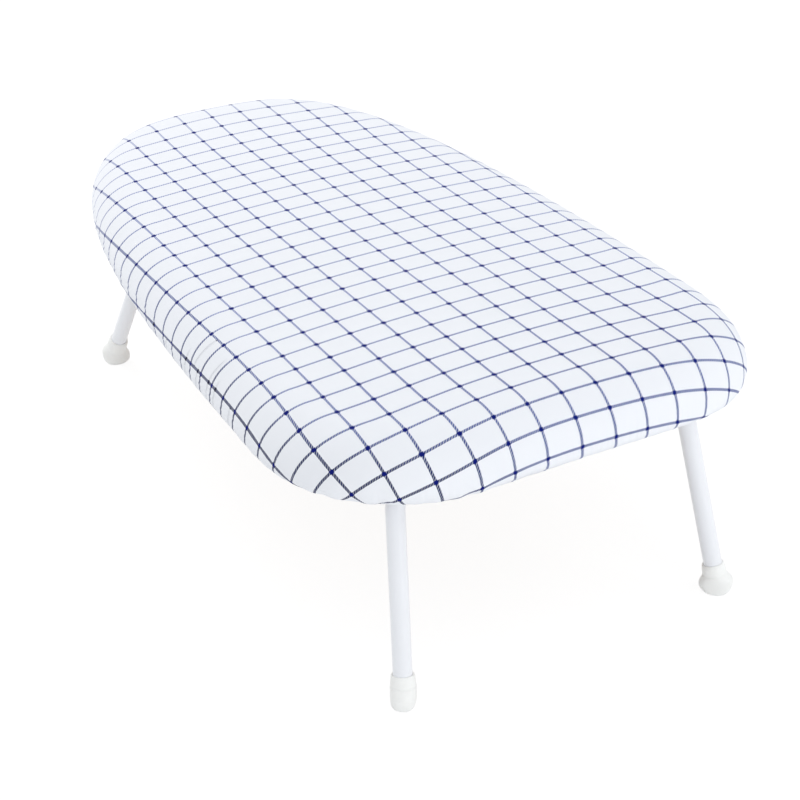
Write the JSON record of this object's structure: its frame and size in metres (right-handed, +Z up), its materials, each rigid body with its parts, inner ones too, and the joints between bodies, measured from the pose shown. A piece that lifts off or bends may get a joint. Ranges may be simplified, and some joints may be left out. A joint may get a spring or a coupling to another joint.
{
  "type": "tabletop ironing board",
  "caption": "Tabletop ironing board: a tapered padded top in a checked cotton cover, on splayed white tube leg frames with rubber feet that fold flat underneath.",
  "frame": {"origin": "on the table, under the middle of the board's length and width", "axes": "+X along the board towards its wide end, +Z up; -Y is the left side seen from the wide end"},
  "size_m": [0.6102, 0.354, 0.192],
  "materials": {
    "cotton": "woven cotton with a windowpane check",
    "elastic": "knitted band",
    "foam": "soft open-cell foam",
    "fibreboard": "smooth raw fibreboard",
    "white_paint": "glossy white powder coat",
    "rubber": "matt off-white rubber",
    "white_plastic": "moulded white nylon",
    "steel": "zinc-plated steel"
  },
  "bodies": {
    "board": {"board_panel": "fibreboard", "foam_pad": "foam", "cotton_cover": "cotton", "hem_elastic": "elastic", "wide_left_saddle": "white_plastic", "wide_left_saddle_screw_nose": "steel", "wide_left_saddle_screw_wide": "steel", "wide_right_saddle": "white_plastic", "wide_right_saddle_screw_nose": "steel", "wide_right_saddle_screw_wide": "steel", "wide_leg_clip": "white_plastic", "wide_leg_clip_screw_inner": "steel", "wide_leg_clip_screw_outer": "steel", "nose_left_saddle": "white_plastic", "nose_left_saddle_screw_nose": "steel", "nose_left_saddle_screw_wide": "steel", "nose_right_saddle": "white_plastic", "nose_right_saddle_screw_nose": "steel", "nose_right_saddle_screw_wide": "steel", "nose_leg_clip": "white_plastic", "nose_leg_clip_screw_inner": "steel", "nose_leg_clip_screw_outer": "steel"},
    "wide_legs": {"wide_leg_tube": "white_paint", "wide_stop_tab": "white_paint", "wide_left_foot": "rubber", "wide_right_foot": "rubber"},
    "nose_legs": {"nose_leg_tube": "white_paint", "nose_stop_tab": "white_paint", "nose_left_foot": "rubber", "nose_right_foot": "rubber"}
  },
  "joints": [
    {"name": "wide_leg_fold", "type": "hinge", "parent": "board", "child": "wide_legs", "pos_m": [0.25756, 0, 0.14275], "axis": [0, 1, 0], "range_deg": [0, 101]},
    {"name": "nose_leg_fold", "type": "hinge", "parent": "board", "child": "nose_legs", "pos_m": [-0.1522, 0, 0.14275], "axis": [0, -1, 0], "range_deg": [0, 117.5]}
  ]
}
